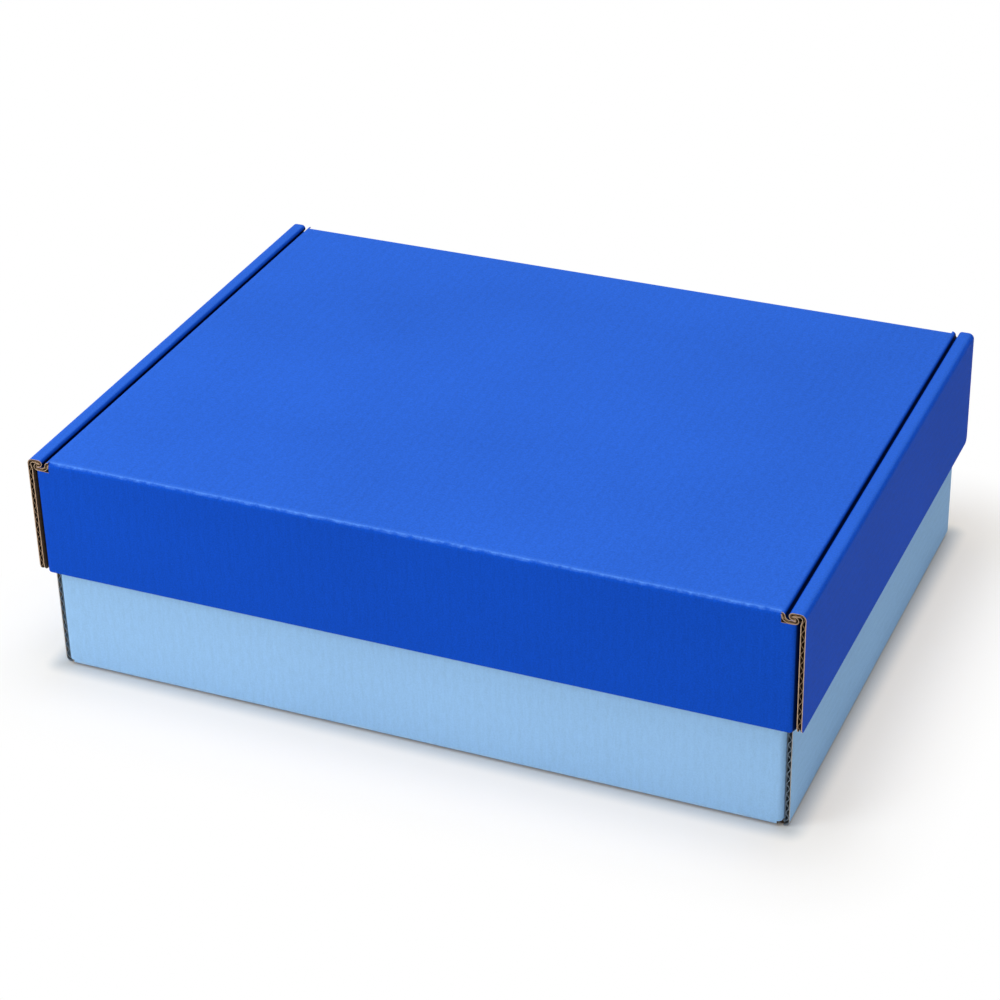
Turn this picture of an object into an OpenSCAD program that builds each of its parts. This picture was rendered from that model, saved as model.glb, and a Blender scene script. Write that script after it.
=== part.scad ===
// Two-piece postal box of corrugated board: a deep base tray and a lid that slides down over it.
// Each piece is one flat sheet, creased and folded. The front is towards -Y and the origin is under
// the middle of the base, on the surface that it stands on.

/* [Box] */
// Outer width of the lid, left to right
lid_w = 245; // [160:5:400]
// Outer depth of the lid, front to back
lid_d = 179; // [130:1:320]
// Height of the closed box
box_h = 74.3; // [60:0.1:120]
// Depth of the lid's skirt, from the top to its rim
skirt_h = 39.6; // [25:0.1:50]

/* [Board] */
// Thickness of the corrugated board
board_t = 1.6; // [1.3:0.1:2]
// Thickness that is left where the board is pressed flat in the lid's shoulder
pressed_t = 1.15; // [0.9:0.05:1.25]
// Air between two layers that lie on each other
lap_gap = 0.1; // [0.05:0.05:0.2]
// Inner radius of a folded crease
crease_r = 0.2; // [0.1:0.05:0.5]
// Thickness of the board's outer and inner liners
liner_t = 0.25; // [0.2:0.01:0.3]
// Thickness of the fluted paper between the liners
medium_t = 0.2; // [0.15:0.01:0.25]
// Distance from flute to flute
flute_pitch = 3.4; // [3:0.1:4]

/* [Shoulder] */
// Width of the raised strip along each short side of the lid
strip_w = 5; // [4.8:0.05:8]
// Groove between the strip and the top panel
groove_w = 1; // [0.8:0.1:2]
// Height of the strip above the top panel
strip_rise = 0.3; // [0:0.1:0.6]
// Inner radius of the bowl that the top panel's edge makes under the strip
bowl_r = 1.2; // [1.1:0.1:1.8]
// Gap between the side wall and the folded end of the shoulder beneath the strip
tuck_gap = 0.5; // [0.2:0.1:0.8]
// Radius of the lower corners of the lid's side walls
side_corner_r = 2.2; // [1:0.1:5]

/* [Corner flaps] */
// Length of the lid's corner flaps, from its front face
lid_flap_l = 42; // [20:1:60]
// Length of the base's corner flaps, from its front face
base_flap_l = 60; // [30:1:62]
// How much narrower each edge of a corner flap is at its tip
flap_taper = 3; // [1:0.5:6]
// Slot between the lid's front wall and the cut edge of its side wall
end_gap = 0.85; // [0.5:0.05:0.9]
// Angle at which the lid's flap leans outwards to its glued place
flap_lean = 24; // [20:1:30]

/* [Fit] */
// Clearance between the lid's glued flaps and the base's side walls
side_fit = 0.3; // [0.25:0.05:1]
// Clearance between the lid's front and back walls and the base's
front_fit = 0.4; // [0.3:0.05:1]
// Clearance between the lid's shoulders and the rolled walls that they rest on
seat_gap = 0.3; // [0.2:0.05:0.5]

/* [Base] */
// How far the base's front and back walls end below its rolled side walls
front_drop = 0.6; // [0.2:0.1:5]
// How far the cut edges of the side walls stand behind the base's front face
edge_setback = 1.2; // [1:0.1:2]
// Length of each lock tab
tab_l = 28; // [15:1:35]
// Distance between the middles of the two lock tabs of a side wall
tab_apart = 90; // [70:1:95]
// Clearance around a lock tab in its slot
tab_fit = 0.2; // [0.1:0.05:0.4]

/* [Hidden] */
bend_step = 11.25;
// Overlap of two stretches of one sheet
join = 0.02;
// How far a cutting shape reaches past what it cuts
past = 1;
lid_blue = [0.08, 0.31, 0.80];
base_blue = [0.56, 0.74, 0.92];

fold_r = board_t + crease_r;
lap_r = pressed_t + lap_gap / 2;
rim_z = box_h - skirt_h;
panel_z = box_h - strip_rise;

// Shoulder: heights of its layers' printed faces below the strip, and distances in from the side
floor_drop = 2 * lap_r + lap_gap;
bowl_turn = acos(1 - (floor_drop - strip_rise) / (bowl_r + lap_r));
bowl_side = strip_w + groove_w;
panel_edge = bowl_side + lap_r * sin(bowl_turn);
tuck_edge = board_t + tuck_gap + lap_r;
shoulder_z = box_h - floor_drop - pressed_t;

// Base
base_w = lid_w - 2 * (2 * board_t + side_fit);
base_d = lid_d - 2 * (board_t + front_fit);
side_top = shoulder_z - seat_gap;
front_top = side_top - front_drop;
wall_w = 3 * board_t + 2 * lap_gap;

// One side of a board, as points. It starts at p with heading h, and each move is a straight run,
// a turn, the turn's radius and the board's thickness there. The path is the printed face, and the
// board lies to its left: side is 0 for the printed face and 1 for the other one.
function board_side(p, h, moves, side, i = 0) =
    i == len(moves) ? [] :
    let (
        run = moves[i][0],
        turn = moves[i][1],
        r = moves[i][2],
        depth = side * moves[i][3],
        normal = [-sin(h), cos(h)],
        corner = p + run * [cos(h), sin(h)],
        way = sign(turn),
        centre = corner + way * r * normal,
        steps = ceil(abs(turn) / bend_step),
        bend = turn == 0 ? [corner + depth * normal] : [
            for (k = [0:steps])
                let (a = h - way * 90 + turn * k / steps)
                centre + (r - way * depth) * [cos(a), sin(a)]
        ],
        last = h - way * 90 + turn,
        next = turn == 0 ? corner : centre + r * [cos(last), sin(last)]
    )
    concat(bend, board_side(next, h + turn, moves, side, i + 1));

function reversed(list) = [for (i = [len(list) - 1:-1:0]) list[i]];

// Cross-section of a folded board
module board(start, heading, moves) {
    path = concat([[0, 0, 0, moves[0][3]]], moves);
    polygon(concat(
        board_side(start, heading, path, 0),
        reversed(board_side(start, heading, path, 1))
    ));
}

// Flute cells between the liners along a straight stretch of a section, from p with heading h
module flutes(p, h, run, depth) {
    count = floor(2 * run / flute_pitch);
    step = run / max(count, 1);
    foot = 0.7 * step;
    crown = 0.2 * step;
    deep = depth / 2 - liner_t;
    if (count > 0)
        for (k = [0:count - 1])
            translate(p + (k + 0.5) * step * [cos(h), sin(h)])
                rotate(h)
                translate([0, depth / 2])
                scale([1, k % 2 == 0 ? 1 : -1])
                polygon([
                    [-foot, -deep],
                    [foot, -deep],
                    [crown, deep - medium_t],
                    [-crown, deep - medium_t]
                ]);
}

// A section drawn in X and Z, run from y0 to y1
module along_y(y0, y1) {
    translate([0, y1, 0])
        rotate([90, 0, 0])
        linear_extrude(y1 - y0)
        children();
}

// A section drawn in Y and Z, run from x0 to x1
module along_x(x0, x1) {
    translate([x0, 0, 0])
        rotate([90, 0, 90])
        linear_extrude(x1 - x0)
        children();
}

module left_and_right() {
    children();
    mirror([1, 0, 0]) children();
}

module front_and_back() {
    children();
    mirror([0, 1, 0]) children();
}

// Side wall, strip and the three layers folded beneath it, up to the top panel's edge
module shoulder_section() {
    wall_run = skirt_h - 2 * fold_r;
    strip_run = strip_w - fold_r - lap_r;
    difference() {
        board([lid_w / 2, rim_z], 90, [
            [wall_run, 0, 0, board_t],
            [fold_r, 90, fold_r, pressed_t],
            [strip_run, 180, lap_r, pressed_t],
            [strip_w - lap_r - tuck_edge, -180, lap_gap / 2, pressed_t],
            [bowl_side - bowl_r * sin(bowl_turn) - tuck_edge, -bowl_turn, bowl_r, pressed_t],
            [0, bowl_turn, lap_r, pressed_t],
            [join, 0, 0, pressed_t]
        ]);
        flutes([lid_w / 2, rim_z], 90, wall_run, board_t);
        flutes([lid_w / 2 - fold_r, box_h], 180, strip_run, pressed_t);
    }
}

// What is cut off the lower corners of a side wall
module corner_waste(y, z, r) {
    translate([y - r, z + r])
        difference() {
            translate([0, -r - past]) square(r + past);
            circle(r, $fn = 48);
        }
}

module lid_sides() {
    left_and_right()
        difference() {
            along_y(-lid_d / 2, lid_d / 2) shoulder_section();
            front_and_back()
                along_x(lid_w / 2 - 2 * board_t, lid_w / 2 + board_t)
                corner_waste(lid_d / 2, rim_z, side_corner_r);
        }
}

// Top panel with the front and back walls folded down from it
module lid_panel() {
    half = lid_w / 2 - panel_edge;
    along_x(-half, half)
        board([lid_d / 2, rim_z], 90, [
            [skirt_h - strip_rise - fold_r, 90, fold_r, board_t],
            [lid_d - 2 * fold_r, 90, fold_r, board_t],
            [skirt_h - strip_rise - fold_r, 0, 0, board_t]
        ]);
}

// Outline of a corner flap, in Y and Z, with the wall end that it hangs on. It is drawn from the
// front face at y, between the heights low and high.
module flap_outline(y, length, low, high, lift) {
    polygon([
        [y - past, low],
        [y + fold_r / 2, low],
        [y + fold_r, low + lift],
        [y + length - flap_taper, low + lift + flap_taper],
        [y + length, low + lift + 2 * flap_taper],
        [y + length, high - 2 * flap_taper],
        [y + length - flap_taper, high - flap_taper],
        [y + 2 * fold_r, high],
        [y - past, high]
    ]);
}

// End of the lid's front wall under the shoulder: the fold, and the flap leaning out to its glued
// place inside the side wall
module lid_corner() {
    lean_run = (end_gap - fold_r * (1 - cos(flap_lean))) / sin(flap_lean);
    wall_end = lid_w / 2 - board_t - end_gap - fold_r * cos(flap_lean);
    wall_start = lid_w / 2 - panel_edge - join;
    intersection() {
        translate([0, 0, rim_z])
            linear_extrude(skirt_h)
            board([wall_start, -lid_d / 2], 0, [
                [wall_end - wall_start, 90 - flap_lean, fold_r, board_t],
                [lean_run, flap_lean, fold_r, board_t],
                [lid_flap_l, 0, 0, board_t]
            ]);
        along_x(0, lid_w)
            flap_outline(-lid_d / 2, lid_flap_l, rim_z, shoulder_z - lap_gap, board_t / 2);
    }
}

module lid() {
    color(lid_blue) {
        lid_sides();
        lid_panel();
        left_and_right() front_and_back() lid_corner();
    }
}

// Bottom edge and outer layer of a side wall, up to the middle of its rolled top
module side_outer_section() {
    wall_run = side_top - 2 * fold_r;
    difference() {
        board([0, 0], 0, [
            [base_w / 2 - fold_r, 90, fold_r, board_t],
            [wall_run, 90, fold_r, board_t],
            [wall_w / 2 - fold_r + join, 0, 0, board_t]
        ]);
        flutes([base_w / 2, fold_r], 90, wall_run, board_t);
    }
}

// The rest of the rolled top, and the inner layer down to the bottom panel
module side_inner_section() {
    wall_run = side_top - fold_r - board_t - lap_gap;
    difference() {
        board([base_w / 2 - wall_w / 2, side_top], 180, [
            [wall_w / 2 - fold_r, 90, fold_r, board_t],
            [wall_run, 0, 0, board_t]
        ]);
        flutes([base_w / 2 - wall_w, side_top - fold_r], 270, wall_run, board_t);
    }
}

// Lock tabs of one side wall, or their slots when grown by a clearance
module lock_tabs(low, high, fit) {
    for (way = [-1, 1])
        translate([
            base_w / 2 - wall_w - fit,
            way * tab_apart / 2 - tab_l / 2 - fit,
            low
        ])
            cube([board_t + 2 * fit, tab_l + 2 * fit, high - low]);
}

module base_sides() {
    outer_y = base_d / 2 - edge_setback;
    inner_y = base_d / 2 - board_t - front_fit;
    left_and_right() {
        difference() {
            along_y(-outer_y, outer_y) side_outer_section();
            lock_tabs(-past, board_t + past, tab_fit);
            front_and_back()
                translate([-past, base_d / 2 - fold_r, -past])
                cube([base_w / 2 - wall_w / 2, fold_r, board_t + 2 * past]);
        }
        along_y(-inner_y, inner_y) side_inner_section();
        lock_tabs(lap_gap, board_t + lap_gap + join, 0);
    }
}

// Front or back wall, folded up from the bottom panel
module base_front() {
    half = base_w / 2 - board_t - lap_gap - fold_r;
    mirror([0, 1, 0])
        along_x(-half, half)
        board([base_d / 2 - 3 * fold_r, 0], 0, [
            [2 * fold_r, 90, fold_r, board_t],
            [front_top - fold_r, 0, 0, board_t]
        ]);
}

// End of the base's front wall: the fold, and the flap between the layers of the side wall
module base_corner() {
    wall_end = base_w / 2 - board_t - lap_gap - fold_r;
    intersection() {
        linear_extrude(front_top)
            board([wall_end - join, -base_d / 2], 0, [
                [join, 90, fold_r, board_t],
                [base_flap_l, 0, 0, board_t]
            ]);
        along_x(0, base_w)
            flap_outline(-base_d / 2, base_flap_l, fold_r, front_top, board_t / 4);
    }
}

module base_tray() {
    color(base_blue) {
        base_sides();
        front_and_back() base_front();
        left_and_right() front_and_back() base_corner();
    }
}

lid();
base_tray();
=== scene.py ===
import math

import bmesh
import bpy
from mathutils import Matrix, Quaternion, Vector


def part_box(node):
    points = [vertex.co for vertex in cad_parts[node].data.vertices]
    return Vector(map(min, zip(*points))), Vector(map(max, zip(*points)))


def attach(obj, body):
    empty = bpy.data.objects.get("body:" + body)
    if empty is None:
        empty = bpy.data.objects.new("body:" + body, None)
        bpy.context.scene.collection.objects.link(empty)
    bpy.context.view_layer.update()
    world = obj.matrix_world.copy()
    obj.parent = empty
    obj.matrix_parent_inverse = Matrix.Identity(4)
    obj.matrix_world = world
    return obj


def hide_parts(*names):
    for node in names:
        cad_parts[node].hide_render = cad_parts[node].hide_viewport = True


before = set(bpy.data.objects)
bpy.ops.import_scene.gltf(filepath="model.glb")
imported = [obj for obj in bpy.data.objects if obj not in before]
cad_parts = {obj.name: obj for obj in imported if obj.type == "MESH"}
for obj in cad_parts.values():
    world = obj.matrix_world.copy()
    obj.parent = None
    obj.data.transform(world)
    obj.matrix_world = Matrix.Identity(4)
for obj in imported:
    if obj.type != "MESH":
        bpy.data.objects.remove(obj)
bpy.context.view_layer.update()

# Two-piece postal box. Both pieces are sheets of corrugated board, folded up from their middle
# panels: a printed outer liner, a plain inner liner and the fluted paper between them.

lidLow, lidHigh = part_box("lid")
_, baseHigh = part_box("base_tray")
mm = 0.001
tiny = 0.02 * mm
up = Vector((0, 0, 1))

board = {
    "thickness": 1.6 * mm,
    "pressed": 1.15 * mm,       # where the lid's shoulder is pressed flat
    "lapGap": 0.1 * mm,         # air between two layers
    "crease": 0.2 * mm,         # inner radius of a fold
    "liner": 0.25 * mm,
    "medium": 0.2 * mm,
    "flutePitch": 3.4 * mm,
    "bendStep": 11.25,          # degrees
    "weld": 0.004 * mm,
    "cornerZone": 4 * mm,       # how high up a wall its lower corner can reach
}
foldR = board["thickness"] + board["crease"]
lapR = board["pressed"] + board["lapGap"] / 2

lidPiece = {
    "stripWidth": 5 * mm,
    "grooveWidth": 1 * mm,
    "stripRise": 0.3 * mm,
    "bowlRadius": 1.2 * mm,
    "pressedRun": 2 * mm,       # how far the pressed board runs out under the top panel
    "tuckGap": 0.5 * mm,
    "sideCorner": 2.2 * mm,
    "flapLength": 42 * mm,
    "flapTaper": 3 * mm,
    "endGap": 0.85 * mm,
    "flapLean": 24,
    "cornerLifts": ((0.2 * mm, 0.15 * mm), (0.6 * mm, 0.25 * mm), (1.1 * mm, 0.4 * mm)),
}

basePiece = {
    "edgeSetback": 1.2 * mm,
    "frontDrop": 0.6 * mm,
    "flapLength": 60 * mm,
    "flapTaper": 3 * mm,
    "tabLength": 28 * mm,
    "tabPitch": 90 * mm,
    "tabFit": 0.2 * mm,
    "cornerLifts": ((0.2 * mm, 0.1 * mm), (0.6 * mm, 0.15 * mm), (1.1 * mm, 0.25 * mm)),
}


# Modelling by hand, in code

def only(piece):
    bpy.ops.object.select_all(action="DESELECT")
    piece.select_set(True)
    bpy.context.view_layer.objects.active = piece


def edit(piece, mode="EDGE"):
    only(piece)
    bpy.ops.object.mode_set(mode="EDIT")
    bpy.ops.mesh.select_mode(type=mode)
    bpy.ops.mesh.select_all(action="DESELECT")


def leave():
    bpy.ops.object.mode_set(mode="OBJECT")


def choose(piece, test, kind="edges"):
    # selects the edges, faces or vertices whose corners all pass the test on their place
    mesh = bmesh.from_edit_mesh(piece.data)
    for group in (mesh.verts, mesh.edges, mesh.faces):
        for part in group:
            part.select = False
    for part in getattr(mesh, kind):
        corners = [part] if kind == "verts" else part.verts
        if all(test(corner.co) for corner in corners):
            part.select_set(True)
    bmesh.update_edit_mesh(piece.data)


def chosenMiddle(piece):
    mesh = bmesh.from_edit_mesh(piece.data)
    places = [corner.co for corner in mesh.verts if corner.select]
    return sum(places, Vector()) / len(places)


def near(a, b):
    return abs(a - b) < tiny


def moveOn(value):
    bpy.ops.mesh.extrude_region_move(TRANSFORM_OT_translate={"value": value})


def shift(value):
    bpy.ops.transform.translate(value=value)


def stretch(value, middle):
    bpy.ops.transform.resize(value=value, center_override=middle)


def foldOn(piece, heading, inward, moves):
    # Folds the sheet on from the chosen edges. Each move is a straight run, a turn and its radius.
    # A positive turn goes towards the inner side of the board, with the print outside.
    heading = Vector(heading)
    axis = heading.cross(Vector(inward))
    for run, turn, radius in moves:
        if run > 0:
            moveOn(heading * run)
        if turn:
            way = math.copysign(1, turn)
            centre = chosenMiddle(piece) + axis.cross(heading) * radius * way
            steps = math.ceil(abs(turn) / board["bendStep"])
            bpy.ops.mesh.spin(steps=steps, angle=-math.radians(turn), center=centre, axis=axis)
            heading.rotate(Quaternion(axis, math.radians(turn)))
    return heading


def sheetAt(name, halfX, halfY, z, turned=0):
    bpy.ops.mesh.primitive_plane_add(size=2, location=(0, 0, z), rotation=(turned, 0, 0))
    piece = bpy.context.active_object
    piece.name = piece.data.name = name
    piece.scale = (halfX, halfY, 1)
    bpy.ops.object.transform_apply(location=True, rotation=True, scale=True)
    return piece


def settle():
    # closes the doubles that the folds leave, and turns the printed side outwards
    bpy.ops.mesh.select_all(action="SELECT")
    bpy.ops.mesh.remove_doubles(threshold=board["weld"])
    bpy.ops.mesh.normals_make_consistent(inside=False)
    leave()


def copyOf(piece, name):
    twin = piece.copy()
    twin.data = piece.data.copy()
    twin.name = twin.data.name = name
    bpy.context.scene.collection.objects.link(twin)
    return twin


def applied(piece, kind, **settings):
    only(piece)
    modifier = piece.modifiers.new(kind.title(), kind)
    for key, value in settings.items():
        setattr(modifier, key, value)
    bpy.ops.object.modifier_apply(modifier=modifier.name)
    return piece


def joined(name, pieces):
    only(pieces[0])
    for piece in pieces:
        piece.select_set(True)
    bpy.ops.object.join()
    pieces[0].name = pieces[0].data.name = name
    bpy.ops.object.shade_smooth_by_angle(angle=math.radians(30))
    return applied(pieces[0], "WEIGHTED_NORMAL", keep_sharp=True, weight=100)


# Paths of the folded board, as moves of run, turn, radius and thickness along the printed face

def lidSideMoves():
    # from the top panel's edge out to the rim of a side wall
    size = lidPiece
    floorDrop = 2 * lapR + board["lapGap"]
    reach = size["bowlRadius"] + lapR
    bowlTurn = math.degrees(math.acos(1 - (floorDrop - size["stripRise"]) / reach))
    sine = math.sin(math.radians(bowlTurn))
    bowlSide = size["stripWidth"] + size["grooveWidth"]
    tuckEdge = board["thickness"] + size["tuckGap"] + lapR
    thick, flat = board["thickness"], board["pressed"]
    moves = [
        (0, bowlTurn, lapR, flat),
        (0, -bowlTurn, size["bowlRadius"], flat),
        (bowlSide - size["bowlRadius"] * sine - tuckEdge, -180, board["lapGap"] / 2, flat),
        (size["stripWidth"] - lapR - tuckEdge, 180, lapR, flat),
        (size["stripWidth"] - foldR - lapR, 90, foldR, flat),
        (foldR, 0, 0, thick),
        (lidHigh.z - lidLow.z - 2 * foldR, 0, 0, thick),
    ]
    return moves, bowlSide + lapR * sine, lidHigh.z - floorDrop - flat - board["lapGap"]


def lidEndMoves(panelEdge):
    # from the front wall under the top panel's edge to the tip of the glued flap
    size = lidPiece
    lean = math.radians(size["flapLean"])
    leanRun = (size["endGap"] - foldR * (1 - math.cos(lean))) / math.sin(lean)
    wallRun = panelEdge - board["thickness"] - size["endGap"] - foldR * math.cos(lean)
    thick = board["thickness"]
    return [
        (wallRun, 90 - size["flapLean"], foldR, thick),
        (leanRun, size["flapLean"], foldR, thick),
        (size["flapLength"] - 2 * foldR - size["flapTaper"], 0, 0, thick),
        (size["flapTaper"], 0, 0, thick),
    ]


def baseSideMoves():
    # from the bottom panel's edge up, over the rolled top and down to the bottom again
    top = baseHigh.z
    roll = 3 * board["thickness"] + 2 * board["lapGap"] - 2 * foldR
    thick = board["thickness"]
    down = top - foldR - thick - board["lapGap"]
    return [
        (0, 90, foldR, thick),
        (top - 2 * foldR, 90, foldR, thick),
        (roll / 2, 0, 0, thick),
        (roll / 2, 90, foldR, thick),
        (down, 0, 0, thick),
    ]


def baseEndMoves():
    size = basePiece
    thick = board["thickness"]
    return [
        (0, 90, foldR, thick),
        (size["flapLength"] - foldR - size["flapTaper"], 0, 0, thick),
        (size["flapTaper"], 0, 0, thick),
    ]


def short(moves):
    return [move[:3] for move in moves]


# Printed faces, each one a single sheet

def cutAcross(axis, places):
    for place in places:
        bpy.ops.mesh.select_all(action="SELECT")
        bpy.ops.mesh.bisect(plane_co=axis * place, plane_no=axis)


def flapOn(sheet, start, side, end, moves, tall, taper):
    # folds a wall's end round and on into its flap, which narrows to its tip
    choose(sheet, start)
    heading = foldOn(sheet, (end, 0, 0), (0, -side, 0), moves[:-2])
    for move in moves[-2:]:
        foldOn(sheet, heading, (end, 0, 0), [move])
        stretch((1, 1, 1 - 2 * taper / tall), chosenMiddle(sheet))
        tall -= 2 * taper


def liftCorners(sheet, low, face, inside, lifts):
    # rounds the lower corner of a wall where it turns into its flap
    for reach, lift in lifts:
        choose(sheet, lambda co: co.z < low + board["cornerZone"] and abs(co.y) < face - reach
               and inside(co), "verts")
        shift((0, 0, lift))


def lidSheet():
    size = lidPiece
    sideMoves, panelEdge, wallTop = lidSideMoves()
    endMoves = short(lidEndMoves(panelEdge))
    panelZ = lidHigh.z - size["stripRise"]
    halfX = lidHigh.x - panelEdge
    halfY = lidHigh.y - foldR
    sheet = sheetAt("lidPrint", halfX, halfY, panelZ)
    edit(sheet)
    cutAcross(Vector((1, 0, 0)), (halfX - size["pressedRun"], size["pressedRun"] - halfX))
    for side in (1, -1):
        choose(sheet, lambda co: near(co.x, side * halfX))
        foldOn(sheet, (side, 0, 0), -up, short(sideMoves))
    for side in (1, -1):
        for end in (1, -1):
            choose(sheet, lambda co: near(co.y, side * halfY) and co.x * end > halfX - tiny)
            moveOn((0, side * foldR, 0))
    for side in (1, -1):
        choose(sheet, lambda co: near(co.y, side * halfY) and abs(co.x) < halfX + tiny
               and near(co.z, panelZ))
        foldOn(sheet, (0, side, 0), -up, [
            (0, 90, foldR), (panelZ - foldR - wallTop, 0, 0), (wallTop - lidLow.z, 0, 0)])
        for end in (1, -1):
            flapOn(sheet, lambda co: near(co.x, end * halfX) and near(co.y, side * lidHigh.y)
                   and co.z < wallTop + tiny, side, end, endMoves,
                   wallTop - lidLow.z, size["flapTaper"])
    liftCorners(sheet, lidLow.z, lidHigh.y, lambda co: abs(co.x) < lidHigh.x - tiny,
                size["cornerLifts"])
    choose(sheet, lambda co: near(abs(co.x), lidHigh.x) and near(abs(co.y), lidHigh.y)
           and near(co.z, lidLow.z), "verts")
    bpy.ops.mesh.bevel(affect="VERTICES", offset=size["sideCorner"], segments=6)
    settle()
    return sheet


def baseSheet():
    size = basePiece
    halfX = baseHigh.x - foldR
    halfY = baseHigh.y - foldR
    frontX = halfX - board["thickness"] - board["lapGap"]
    wallTop = baseHigh.z - size["frontDrop"]
    wallWidth = 3 * board["thickness"] + 2 * board["lapGap"]
    slotX = baseHigh.x - wallWidth - size["tabFit"]
    slotEdge = slotX + board["thickness"] + 2 * size["tabFit"]
    slotLow = size["tabPitch"] / 2 - size["tabLength"] / 2 - size["tabFit"]
    slotHigh = slotLow + size["tabLength"] + 2 * size["tabFit"]
    sheet = sheetAt("basePrint", halfX, halfY, 0)
    edit(sheet)
    cutAcross(Vector((1, 0, 0)), [
        sign * x for x in (slotX, slotEdge, frontX) for sign in (1, -1)])
    cutAcross(Vector((0, 1, 0)), (-slotHigh, -slotLow, slotLow, slotHigh))
    for side in (1, -1):
        for end in (1, -1):
            choose(sheet, lambda co: slotX - tiny < co.x * end < slotEdge + tiny
                   and slotLow - tiny < co.y * side < slotHigh + tiny, "faces")
            bpy.ops.mesh.delete(type="FACE")
    for side in (1, -1):
        choose(sheet, lambda co: near(co.x, side * halfX))
        foldOn(sheet, (side, 0, 0), up, short(baseSideMoves()))
    for side in (1, -1):
        choose(sheet, lambda co: near(co.y, side * halfY) and near(co.z, 0)
               and abs(co.x) < frontX + tiny)
        foldOn(sheet, (0, side, 0), up, [(0, 90, foldR), (wallTop - foldR, 0, 0)])
        for end in (1, -1):
            flapOn(sheet, lambda co: near(co.x, end * frontX) and near(co.y, side * baseHigh.y),
                   side, end, short(baseEndMoves()), wallTop - foldR, size["flapTaper"])
    flapFace = frontX + foldR
    liftCorners(sheet, foldR, baseHigh.y, lambda co: frontX + tiny < abs(co.x) < flapFace + tiny
                and abs(co.y) < baseHigh.y - tiny and co.z > foldR - tiny, size["cornerLifts"])
    middle = baseHigh.x - wallWidth / 2
    outer = baseHigh.y - size["edgeSetback"]
    for side in (1, -1):
        for end in (1, -1):
            choose(sheet, lambda co: near(co.y, side * halfY) and co.x * end > middle - tiny
                   and (co.z < foldR or co.z > wallTop or near(co.x * end, baseHigh.x))
                   and (co.x * end > halfX - tiny or co.z > wallTop))
            moveOn((0, side * (outer - halfY), 0))
    for side in (1, -1):
        choose(sheet, lambda co: near(abs(co.x), baseHigh.x - wallWidth)
               and near(co.z, board["thickness"] + board["lapGap"])
               and slotLow - tiny < co.y * side < slotHigh + tiny)
        moveOn((0, 0, -board["thickness"]))
        narrow = size["tabLength"] / (slotHigh - slotLow)
        stretch((1, narrow, 1), (0, side * size["tabPitch"] / 2, 0))
    settle()
    return sheet


# Fluted paper between the liners

def flutePath(moves, place, heading, hand):
    # points of the fluted paper along a path in its section; hand is 1 with the board on the left
    step = board["flutePitch"] / 8
    place, heading = Vector(place), Vector(heading)
    quarter = Matrix.Rotation(math.radians(90) * hand, 2)
    thickness = moves[0][3]
    travelled = 0
    points = []

    def note(level):
        full = board["thickness"]
        swing = (level - 2 * board["liner"] * level / full - board["medium"]) / 2
        wave = swing * math.sin(2 * math.pi * travelled / board["flutePitch"])
        points.append(place + quarter @ heading * (level / 2 + wave))

    for run, turn, radius, level in moves:
        count = math.ceil(run / step)
        for k in range(count):
            place = place + heading * run / count
            travelled += run / count
            note(thickness + (level - thickness) * (k + 1) / count)
        thickness = level
        if turn:
            way = math.copysign(1, turn)
            centre = place + quarter @ heading * radius * way
            arc = abs(math.radians(turn)) * (radius - way * level / 2)
            count = math.ceil(arc / step)
            bend = Matrix.Rotation(math.radians(turn) * hand / count, 2)
            for k in range(count):
                heading = bend @ heading
                place = centre - quarter @ heading * radius * way
                travelled += arc / count
                note(level)
    return points


def layStrip(name, rows, along):
    # lays a strip of paper from row to row; a row is its middle and half its length
    piece = sheetAt(name, mm, mm, 0, math.radians(90) if along == 2 else 0)
    edit(piece)

    def widen(middle, factor):
        scale = [1, 1, 1]
        scale[along] = factor
        stretch(scale, middle)

    for side, (middle, half) in zip((-1, 1), rows):
        choose(piece, lambda co: near(co.x, side * mm) and abs(co[along]) > 0.9 * mm)
        middle = Vector(middle)
        shift(middle - Vector((side * mm, 0, 0)))
        widen(middle, half / mm)
    for (before, last), (middle, half) in zip(rows[1:], rows[2:]):
        moveOn(Vector(middle) - Vector(before))
        if abs(half - last) > 1e-7:
            widen(middle, half / last)
    settle()
    return applied(piece, "SOLIDIFY", thickness=board["medium"] * 0.85, offset=0)


def sideFlutes(name, points, side, halfLength):
    rows = [((side * x, 0, z), halfLength(x, z)) for x, z in points]
    return layStrip(name, rows, 1)


def endFlutes(name, points, side, low, high):
    rows = []
    for x, y in points:
        bottom, top = low(y), high(y)
        rows.append(((x, side * y, (bottom + top) / 2), (top - bottom) / 2))
    return layStrip(name, rows, 2)


def mirrored(points):
    return [Vector((-x, y)) for x, y in reversed(points)] + points


def liftAt(size, face, y):
    return sum(lift for reach, lift in size["cornerLifts"] if y < face - reach)


def lidFlutes():
    size = lidPiece
    sideMoves, panelEdge, wallTop = lidSideMoves()
    panelZ = lidHigh.z - size["stripRise"]
    halfX = lidHigh.x - panelEdge
    corner = size["sideCorner"]

    def halfLength(x, z):
        # the lower corners of a side wall are rounded
        drop = max(0, lidLow.z + corner - z)
        return lidHigh.y - corner + math.sqrt(max(0, corner ** 2 - drop ** 2))

    points = flutePath(sideMoves, (halfX, panelZ), (1, 0), -1)
    strips = [sideFlutes("lidFlutes", points, side, halfLength) for side in (1, -1)]
    moves = lidEndMoves(panelEdge)
    moves[0] = (moves[0][0] + halfX, *moves[0][1:])
    ends = mirrored(flutePath(moves, (0, lidHigh.y), (1, 0), -1))
    tip = min(y for x, y in ends)

    def narrowing(y):
        share = min(1, max(0, (lidHigh.y - 2 * foldR - y) / (lidHigh.y - 2 * foldR - tip)))
        return size["flapTaper"] * share

    for side in (1, -1):
        strips.append(endFlutes(
            "lidFlutes", ends, side,
            lambda y: lidLow.z + liftAt(size, lidHigh.y, y) + narrowing(y),
            lambda y: wallTop - narrowing(y)))
    return strips


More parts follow.
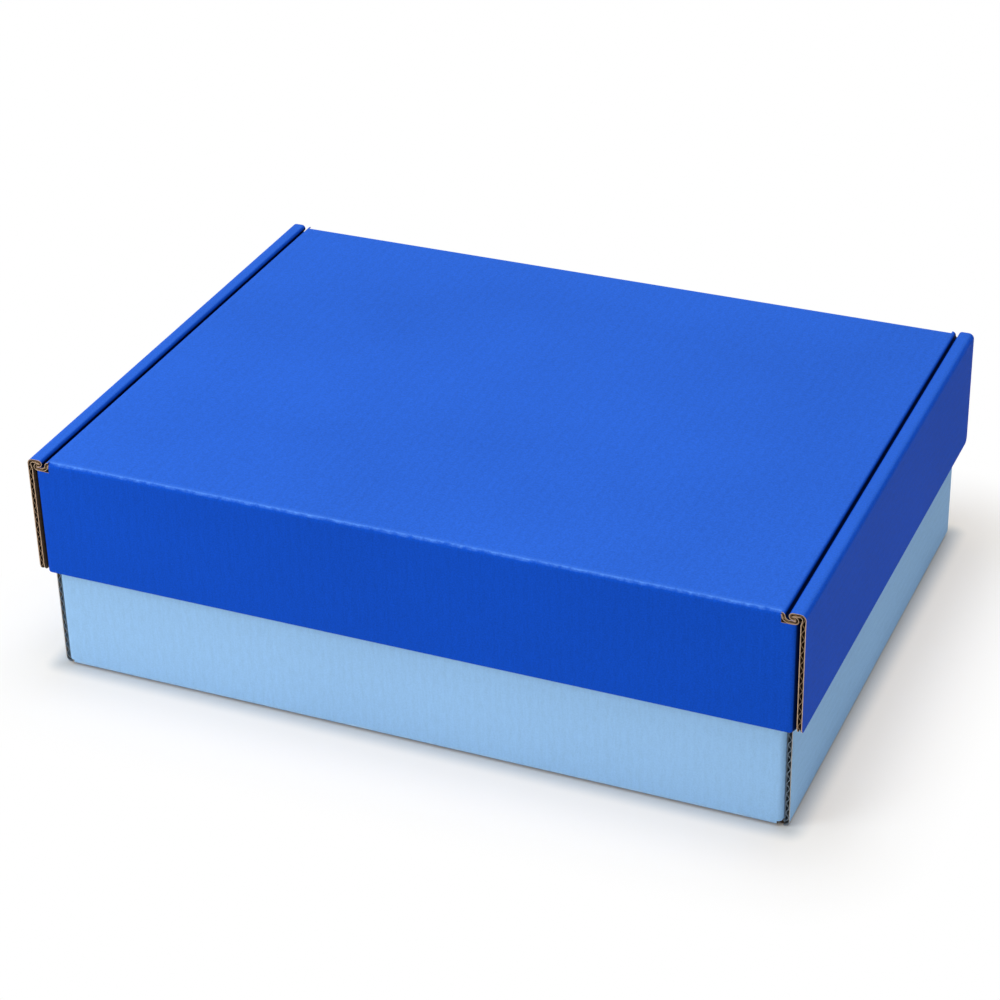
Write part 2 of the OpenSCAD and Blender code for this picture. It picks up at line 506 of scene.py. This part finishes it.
def baseFlutes():
    size = basePiece
    halfX = baseHigh.x - foldR
    frontX = halfX - board["thickness"] - board["lapGap"]
    wallTop = baseHigh.z - size["frontDrop"]
    middle = baseHigh.x - (3 * board["thickness"] + 2 * board["lapGap"]) / 2
    outer = baseHigh.y - size["edgeSetback"]
    inner = baseHigh.y - foldR

    def halfLength(x, z):
        return outer if x > middle else inner

    points = flutePath(baseSideMoves(), (halfX, 0), (1, 0), 1)
    strips = [sideFlutes("baseFlutes", points, side, halfLength) for side in (1, -1)]
    moves = baseEndMoves()
    moves[0] = (frontX, *moves[0][1:])
    ends = mirrored(flutePath(moves, (0, baseHigh.y), (1, 0), -1))
    tip = min(y for x, y in ends)

    def narrowing(y):
        share = min(1, max(0, (inner - y) / (inner - tip)))
        return size["flapTaper"] * share

    for side in (1, -1):
        strips.append(endFlutes(
            "baseFlutes", ends, side,
            lambda y: foldR + liftAt(size, baseHigh.y, y) + narrowing(y),
            lambda y: wallTop - narrowing(y)))
    return strips


def pressShoulders(sheet):
    # the lid's shoulders are pressed thinner than the rest of the board
    floorZ = lidHigh.z - 2 * lapR - board["lapGap"]
    panelZ = lidHigh.z - lidPiece["stripRise"]
    halfX = lidHigh.x - lidSideMoves()[1]
    group = sheet.vertex_groups.new(name="thickness")
    thin = board["pressed"] / board["thickness"]
    for corner in sheet.data.vertices:
        x, z = abs(corner.co.x), corner.co.z
        inFold = x > halfX + tiny and z > floorZ - tiny
        atPanel = near(x, halfX) and near(z, panelZ)
        group.add([corner.index], thin if inFold or atPanel else 1, "REPLACE")


def boardOf(name, sheet, flutes, papers):
    # gives the printed sheet its liner, and adds the plain liner and the fluted paper
    printed, kraft, cutEdge, fluted = papers
    liner, full = board["liner"], board["thickness"]
    inner = copyOf(sheet, name + "Inside")
    for layer, depth in ((sheet, 0), (inner, full - liner)):
        for material in (printed if layer == sheet else kraft, kraft, cutEdge):
            layer.data.materials.append(material)
        applied(layer, "SOLIDIFY", thickness=liner, offset=-(2 * depth + liner) / liner,
                use_even_offset=True, material_offset=1, material_offset_rim=2,
                vertex_group="thickness" if sheet.vertex_groups else "")
    for strip in flutes:
        strip.data.materials.append(fluted)
    return joined(name, [sheet, inner, *flutes])


# Shader maths: a socket that takes part in Python expressions, and a way to add any node

class Flow:
    def __init__(self, tree, socket):
        self.tree = tree
        self.socket = socket

    def math(self, operation, *others):
        return addNode(self.tree, "Math", {"operation": operation}, self, *others)

    def __add__(self, other):
        return self.math("ADD", other)

    def __radd__(self, other):
        return self.math("ADD", other)

    def __sub__(self, other):
        return self.math("SUBTRACT", other)

    def __rsub__(self, other):
        return addNode(self.tree, "Math", {"operation": "SUBTRACT"}, other, self)

    def __mul__(self, other):
        return self.math("MULTIPLY", other)


def addNode(tree, kind, settings, *values, out=0, at=None, **named):
    # settings come first, then the sockets' values or links, by place or by name
    node = tree.nodes.new("ShaderNode" + kind)
    for key, value in settings.items():
        setattr(node, key, value)
    places = list(enumerate(values)) + list((at or {}).items())
    places += [(name.replace("_", " "), value) for name, value in named.items()]
    for place, value in places:
        socket = node.inputs[place]
        if isinstance(value, Flow):
            tree.links.new(value.socket, socket)
        else:
            socket.default_value = value
    return Flow(tree, node.outputs[out])


def newMaterial(name):
    material = bpy.data.materials.new(name)
    material.use_nodes = True
    tree = material.node_tree
    tree.nodes.clear()
    return material, tree


def parts(vector):
    # the three numbers of a vector
    split = addNode(vector.tree, "SeparateXYZ", {}, vector)
    return [Flow(vector.tree, socket) for socket in split.socket.node.outputs]


def fromMiddle(vector):
    return [part.math("ABSOLUTE") for part in parts(vector)]


def spread(value, low, high):
    # rises softly from 0 at low to 1 at high
    return addNode(value.tree, "MapRange", {"interpolation_type": "SMOOTHSTEP"}, value, low, high)


def band(value, low, high, soft):
    return spread(value, low - soft, low + soft) * spread(value, high + soft, high - soft)


def speckle(vector, scale, detail=2.0, roughness=0.5):
    return addNode(vector.tree, "TexNoise", {}, vector, Scale=scale, Detail=detail,
                   Roughness=roughness) - 0.5


def blend(factor, first, second):
    # the Mix node's colour sockets are its inputs 6 and 7 and its output 2
    return addNode(factor.tree, "Mix", {"data_type": "RGBA"}, factor,
                   at={6: first, 7: second}, out=2)


def scaled(colour, level):
    return addNode(level.tree, "VectorMath", {"operation": "SCALE"}, colour, Scale=level)


def finishMaterial(tree, shader):
    output = tree.nodes.new("ShaderNodeOutputMaterial")
    tree.links.new(shader.socket, output.inputs["Surface"])


# Camera, lights and floor

view = {
    "place": (0.30070, -0.70323, 0.48539),
    "azimuth": 23.59,
    "elevation": 30.43,
    "roll": -1.43,
    "lens": 100.25,
}

light = {
    "room": 0.125,              # even light from all round
    "top": 2.28,                # from straight above
    "topAngle": 40,
    "key": 4.2,                 # soft box at the left, in front
    "keyPlace": (-0.62, -0.62, 0.62),
    "keySize": 0.6,
    "bounce": 0.9,              # how pale the floor is to the light
    "seenFloor": (0.48, 0.54, 0.59),    # how it looks, with its glow: white, with grey shadows
    "floorGlow": (0.42, 0.345, 0.265),
    "shadowFades": (8 * mm, 46 * mm),   # from the box, out to plain white
    "contact": 7 * mm,          # where the floor glows less, close to the box: a painted contact shadow
    "contactGlow": 0.3,
    "floorSize": 12,
    "floorDrop": 0.2 * mm,
}


def seesBackdrop(tree):
    path = tree.nodes.new("ShaderNodeLightPath")
    sees = Flow(tree, path.outputs["Is Camera Ray"])
    for name in ("Is Glossy Ray", "Is Transmission Ray"):
        sees = sees.math("MAXIMUM", Flow(tree, path.outputs[name]))
    return sees


def makeCamera():
    camera = bpy.data.cameras.new("camera")
    camera.lens = view["lens"]
    camera.sensor_width = 36
    camera.clip_start = 0.01
    camera.clip_end = 50
    seat = bpy.data.objects.new("camera", camera)
    bpy.context.scene.collection.objects.link(seat)
    azimuth, elevation = math.radians(view["azimuth"]), math.radians(view["elevation"])
    back = Vector((math.sin(azimuth) * math.cos(elevation),
                   -math.cos(azimuth) * math.cos(elevation), math.sin(elevation)))
    right = up.cross(back).normalized()
    top = back.cross(right)
    turn = Matrix((right, top, back)).transposed() @ Matrix.Rotation(
        math.radians(view["roll"]), 3, "Z")
    seat.matrix_world = Matrix.Translation(view["place"]) @ turn.to_4x4()
    bpy.context.scene.camera = seat


def lamp(name, kind, strength, place):
    data = bpy.data.lights.new(name, kind)
    data.energy = strength
    seat = bpy.data.objects.new(name, data)
    bpy.context.scene.collection.objects.link(seat)
    seat.location = place
    seat.rotation_euler = Vector(place).to_track_quat("Z", "Y").to_euler()
    return data


def makeRoom():
    world = bpy.data.worlds.new("room")
    bpy.context.scene.world = world
    world.use_nodes = True
    tree = world.node_tree
    tree.nodes.clear()
    sees = seesBackdrop(tree)
    shine = addNode(tree, "Background", {}, (1, 1, 1, 1), sees + (1 - sees) * light["room"])
    output = tree.nodes.new("ShaderNodeOutputWorld")
    tree.links.new(shine.socket, output.inputs["Surface"])
    above = lamp("topLight", "SUN", light["top"], (0, 0, 1))
    above.angle = math.radians(light["topAngle"])
    key = lamp("keyLight", "AREA", light["key"], light["keyPlace"])
    key.shape = "DISK"
    key.size = light["keySize"]
    bpy.ops.mesh.primitive_plane_add(size=light["floorSize"], location=(0, 0, -light["floorDrop"]))
    floor = bpy.context.active_object
    floor.name = floor.data.name = "floor"
    material, tree = newMaterial("floorWhite")
    sees = seesBackdrop(tree)
    spot = tree.nodes.new("ShaderNodeTexCoord")
    x, y, _ = fromMiddle(Flow(tree, spot.outputs["Object"]))
    aside = (x - baseHigh.x).math("MAXIMUM", 0.0)
    ahead = (y - baseHigh.y).math("MAXIMUM", 0.0)
    away = (aside * aside + ahead * ahead).math("SQRT")
    far = spread(away, *light["shadowFades"]) * sees
    grey = (light["bounce"],) * 3 + (1,)
    paper = addNode(tree, "BsdfDiffuse", {}, blend(sees, grey, (*light["seenFloor"], 1)))
    # painted contact shadow: the floor's glow is weaker close to the box
    share = spread(away, 0.0, light["contact"]) * (1 - light["contactGlow"]) + light["contactGlow"]
    glow = addNode(tree, "Emission", {}, (*light["floorGlow"], 1), sees * share)
    white = addNode(tree, "Emission", {}, (1, 1, 1, 1), 1.0)
    lit = addNode(tree, "AddShader", {}, paper, glow)
    finishMaterial(tree, addNode(tree, "MixShader", {}, far, lit, white))
    floor.data.materials.append(material)


# Materials: inks on a fine paper liner, plain kraft inside and at the cut edges

# how fine each pattern is, in waves a metre: the streaks across the flutes, then along them
printing = {
    "streaks": (1200.0, 230.0),
    "grain": 1900.0,
    "cloud": 14.0,
    "ragged": 420.0,
    "upwards": (0.7, 0.95),     # how far a face looks up, from none to all of the top's painted sheen
    "calm": 0.7,                # the share of the streaks that the top lacks
    "rough": {"grain": 0.2, "wornAndHighlit": 0.15},
    "bumps": {"ripple": 0.006, "grain": 0.016, "streak": 0.010, "wornAndHighlit": 0.05},     # in mm
}

unprinted = {
    "streaks": (500.0, 2200.0),
    "grain": 1500.0,
    "cloud": 30.0,
    "specks": 2600.0,
    "speckFrom": (0.17, 0.24),
    "fibreFrom": (0.02, 0.3),
    "share": 0.5,               # of the fibres' and of the specks' colour
    "levels": {"grain": 0.6, "cloud": 0.2, "ripple": 0.03},
    "rough": {"grain": 0.2},
    "bumps": {"ripple": 0.012, "fibre": 0.02, "grain": 0.02},     # in mm
    "shine": 0.1,
}

# where the lid's front and back folds are worn and carry a painted highlight; a level is a share
# of the raggedness and a start
crease = {
    "rise": (4 * mm, 3 * mm),   # under the lid's top
    "reach": (0.7 * mm, 0.2 * mm),
    "ragged": 0.30,
    "line": (0.80, 0.955, 0.04),
    "lineLevel": (2.6, 0.52),
    "soft": (0.62, 0.99, 0.12),
    "softLevel": (1.4, 0.26),
}

scuff = {
    "height": (0.9 * mm, 2.2 * mm, 0.5 * mm),
    "level": (2.0, 0.3),
}

# painted shade in the depths: how far each reaches, and its share of the painted shade colour
shade = {
    "slotSide": 0.5 * mm,
    "slotDeep": (8 * mm, 5 * mm),
    "slot": 0.9,
    "groove": (2.9 * mm, 0.9 * mm, 0.35 * mm),
    "foot": (1.0 * mm, 0.25 * mm),
    "footShare": 0.8,
    "corner": (9 * mm, 6 * mm),
    "cornerShare": 0.88,
}

lidInk = {
    "colour": (0.005, 0.080, 0.588),
    # painted sheen: the top panel's ink is made paler for the light that falls on it
    "paintedTopSheen": (0.025, 0.128, 0.655),
    # worn ink together with a painted highlight along the lid's folds
    "wornAndHighlit": (0.10, 0.29, 0.90),
    # painted shade in the shoulder's groove and in the slot
    "deep": (0.0, 0.006, 0.045),
    "roughness": 0.62,
    "shine": 0.035,
    "grain": 0.66,              # shares of the colour's level that vary
    "streak": 0.24,
    "cloud": 0.22,
    "ripple": 0.012,
}

baseInk = {
    "colour": (0.37, 0.64, 0.97),
    # no painted sheen on the base: its top colour is its own colour
    "paintedTopSheen": (0.37, 0.64, 0.97),
    "wornAndHighlit": (0.70, 0.86, 0.97),
    # painted shade along the foot
    "deep": (0.10, 0.20, 0.32),
    "roughness": 0.62,
    "shine": 0.045,
    "grain": 0.20,
    "streak": 0.15,
    "cloud": 0.10,
    "ripple": 0.010,
}

kraftPaper = {
    "colour": (0.50, 0.32, 0.17),
    "fibre": (0.66, 0.47, 0.29),
    "speck": (0.20, 0.11, 0.05),
    # painted shade in the slot and in the hollows inside the board
    "deep": (0.03, 0.02, 0.015),
    "roughness": 0.85,
}

baseKraft = {
    **kraftPaper,
    # painted shade in the corners' cut edges
    "deep": (0.22, 0.30, 0.38),
}

lidEdge = {
    "colour": (0.60, 0.42, 0.28),
    "fibre": (0.86, 0.68, 0.50),
    "speck": (0.16, 0.08, 0.04),
    # painted shade in the slot
    "deep": (0.03, 0.02, 0.015),
    "roughness": 0.9,
}

baseEdge = {
    "colour": (0.46, 0.43, 0.39),
    "fibre": (0.64, 0.60, 0.54),
    "speck": (0.16, 0.10, 0.06),
    "deep": (0.09, 0.145, 0.20),        # painted shade in the corners' cut edges
    "roughness": 0.9,
}

lidFluting = {
    "colour": (0.30, 0.19, 0.11),
    "fibre": (0.55, 0.39, 0.25),
    "speck": (0.12, 0.06, 0.03),
    # painted shade in the slot and in the hollows inside the board
    "deep": (0.03, 0.02, 0.015),
    "roughness": 0.9,
}

baseFluting = {
    "colour": (0.30, 0.20, 0.12),
    "fibre": (0.50, 0.37, 0.25),
    "speck": (0.12, 0.06, 0.03),
    # painted shade in the corners' cut edges
    "deep": (0.20, 0.28, 0.36),
    "roughness": 0.9,
}


def sheetSpots(tree):
    # a point's place, which way it faces, and its place across and along the flutes
    spot = tree.nodes.new("ShaderNodeTexCoord")
    place = Flow(tree, spot.outputs["Object"])
    facing = fromMiddle(Flow(tree, spot.outputs["Normal"]))
    x, y, z = parts(place)
    across = x + spread(facing[0], 0.6, 0.8) * (z - x)
    along = y + spread(facing[1], 0.6, 0.8) * (z - y)
    return place, facing, across, along


def lidWearAndHighlight(place, facing, ragged):
    # the worn front and back folds of the lid's panel, with a painted highlight along them
    x, y, z = fromMiddle(place)
    panelX = lidHigh.x - lidSideMoves()[1]
    onFold = spread(x, panelX + 0.5 * mm, panelX - 0.5 * mm)
    onFold = onFold * spread(z, *[lidHigh.z - depth for depth in crease["rise"]])
    onFold = onFold * spread(y, lidHigh.y - foldR - crease["reach"][0],
                             lidHigh.y - foldR + crease["reach"][1])
    turn = facing[2] + ragged * crease["ragged"]
    share, start = crease["lineLevel"]
    line = band(turn, *crease["line"]) * (ragged * share + start)
    share, start = crease["softLevel"]
    soft = band(turn, *crease["soft"]) * (ragged * share + start)
    return (line.math("MAXIMUM", soft) * onFold).math("MAXIMUM", 0.0)


def baseWear(place, facing, ragged):
    # scuffs along the base's foot
    _, _, z = parts(place)
    share, start = scuff["level"]
    foot = band(z, *scuff["height"]) * spread(facing[2], 0.05, 0.4)
    return (foot * (ragged * share + start)).math("MAXIMUM", 0.0)


def slotShade(place, facing):
    # painted shade in the slot between the end of the lid's wall and its side wall
    x, y, _ = fromMiddle(place)
    wallX = lidHigh.x - board["thickness"]
    slot = band(x, wallX - lidPiece["endGap"] - shade["slotSide"], wallX + 0.1 * mm, 0.2 * mm)
    slot = slot * spread(y, *[lidHigh.y - depth for depth in shade["slotDeep"]])
    return slot * spread(facing[0], 0.5, 0.8) * shade["slot"]


def innerShade(place, facing):
    # painted shade in the slot again, and in the hollows inside the side walls' board
    x, _, _ = fromMiddle(place)
    wallX = lidHigh.x - board["thickness"]
    margin = board["liner"] * 0.6
    inside = band(x, wallX + margin, lidHigh.x - margin, 0.04 * mm)
    inside = inside * spread(facing[1], 0.7, 0.4) * shade["slot"]
    return inside.math("MAXIMUM", slotShade(place, facing))


def lidPaintedShade(place, facing):
    # painted shade deep in the shoulder's groove, and in the slot
    x, _, z = fromMiddle(place)
    low, high, soft = shade["groove"]
    stripX = lidHigh.x - lidPiece["stripWidth"]
    panelX = lidHigh.x - lidSideMoves()[1]
    groove = band(x, panelX + 0.4 * mm, stripX + 0.5 * mm, 0.3 * mm)
    groove = groove * band(z, lidHigh.z - low, lidHigh.z - high, soft)
    return (groove * spread(facing[1], 0.7, 0.5)).math("MAXIMUM", slotShade(place, facing))


def footShade(place, facing):
    # painted shade on the base's folds where they come down to the floor
    _, _, z = parts(place)
    return spread(z, *shade["foot"]) * spread(facing[2], 0.995, 0.95) * shade["footShare"]


def baseEdgePaintedShade(place, facing):
    # painted shade on the cut edges of the side walls at the base's corners
    x, y, _ = fromMiddle(place)
    wallX = baseHigh.x - board["thickness"]
    wall = band(x, wallX - 0.3 * mm, baseHigh.x - board["liner"], 0.08 * mm)
    ends = baseHigh.y - basePiece["edgeSetback"]
    wall = wall * spread(y, *[ends - depth for depth in shade["corner"]])
    return wall * shade["cornerShare"]


def streaksOn(across, along, scales, roughness=0.5):
    lines = addNode(across.tree, "CombineXYZ", {}, across * scales[0], along * scales[1], 0.0)
    return speckle(lines, 1.0, 3.0, roughness)


def rippleOn(across):
    # the flutes show faintly through the liner
    return (across * (2 * math.pi / board["flutePitch"])).math("SINE")


def paperSurface(tree, colour, roughness, height, shine):
    bump = addNode(tree, "Bump", {}, Strength=1.0, Distance=mm, Height=height)
    finishMaterial(tree, addNode(
        tree, "BsdfPrincipled", {}, Base_Color=colour, Roughness=roughness, Normal=bump,
        Specular_IOR_Level=shine))


def printedBoard(name, ink, wearAndHighlight, paintedShadeMask):
    material, tree = newMaterial(name)
    place, facing, across, along = sheetSpots(tree)
    streak = streaksOn(across, along, printing["streaks"])
    grain = speckle(place, printing["grain"], 3.0, 0.6)
    cloud = speckle(place, printing["cloud"])
    ragged = speckle(place, printing["ragged"], 4.0, 0.7)
    ripple = rippleOn(across)
    wornAndHighlit = wearAndHighlight(place, facing, ragged)
    facesUpShare = spread(facing[2], *printing["upwards"])
    streak = streak * (1 - facesUpShare * printing["calm"])
    level = grain * ink["grain"] + streak * ink["streak"] + cloud * ink["cloud"]
    level = level + ripple * ink["ripple"] + 1
    # painted sheen: faces that look up get the paler top colour
    base = blend(facesUpShare, (*ink["colour"], 1), (*ink["paintedTopSheen"], 1))
    # wear, and on the lid's folds a painted highlight
    colour = blend(wornAndHighlit, scaled(base, level), (*ink["wornAndHighlit"], 1))
    # painted shade where the recesses lie
    colour = blend(paintedShadeMask(place, facing), colour, (*ink["deep"], 1))
    rough, bumps = printing["rough"], printing["bumps"]
    roughness = grain * rough["grain"] + wornAndHighlit * rough["wornAndHighlit"] + ink["roughness"]
    height = ripple * bumps["ripple"] + grain * bumps["grain"] + streak * bumps["streak"]
    paperSurface(tree, colour, roughness, height - wornAndHighlit * ragged * bumps["wornAndHighlit"],
                 ink["shine"])
    return material


def plainPaper(name, paper, paintedShadeMask):
    # unprinted paper: long fibres, a few dark specks
    material, tree = newMaterial(name)
    place, facing, across, along = sheetSpots(tree)
    fibre = streaksOn(across, along, unprinted["streaks"], 0.6)
    grain = speckle(place, unprinted["grain"], 3.0, 0.6)
    cloud = speckle(place, unprinted["cloud"])
    specks = spread(speckle(place, unprinted["specks"], 1.0), *unprinted["speckFrom"])
    ripple = rippleOn(across)
    levels, share = unprinted["levels"], unprinted["share"]
    level = grain * levels["grain"] + cloud * levels["cloud"] + ripple * levels["ripple"] + 1
    colour = scaled(paper["colour"], level)
    fibres = spread(fibre, *unprinted["fibreFrom"])
    colour = blend(fibres * share, colour, (*paper["fibre"], 1))
    colour = blend(specks * share, colour, (*paper["speck"], 1))
    # painted shade where the recesses lie
    colour = blend(paintedShadeMask(place, facing), colour, (*paper["deep"], 1))
    roughness = grain * unprinted["rough"]["grain"] + paper["roughness"]
    bumps = unprinted["bumps"]
    height = ripple * bumps["ripple"] + fibre * bumps["fibre"] + grain * bumps["grain"]
    paperSurface(tree, colour, roughness, height, unprinted["shine"])
    return material


bpy.context.scene.view_settings.view_transform = "Standard"
makeCamera()
makeRoom()
print("room ready")
lidPapers = [
    printedBoard("lidBlue", lidInk, lidWearAndHighlight, lidPaintedShade),
    plainPaper("lidKraft", kraftPaper, innerShade),
    plainPaper("lidCutEdge", lidEdge, slotShade),
    plainPaper("lidFluting", lidFluting, innerShade),
]
basePapers = [
    printedBoard("baseBlue", baseInk, baseWear, footShade),
    plainPaper("baseKraft", baseKraft, baseEdgePaintedShade),
    plainPaper("baseCutEdge", baseEdge, baseEdgePaintedShade),
    plainPaper("baseFluting", baseFluting, baseEdgePaintedShade),
]
print("materials ready")

lidPrint = lidSheet()
pressShoulders(lidPrint)
lidBoard = boardOf("lid_board", lidPrint, lidFlutes(), lidPapers)
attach(lidBoard, "lid")
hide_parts("lid")
print("lid folded:", len(lidBoard.data.polygons), "faces")

basePrint = baseSheet()
baseBoard = boardOf("base_board", basePrint, baseFlutes(), basePapers)
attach(baseBoard, "base")
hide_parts("base_tray")
print("base folded:", len(baseBoard.data.polygons), "faces")
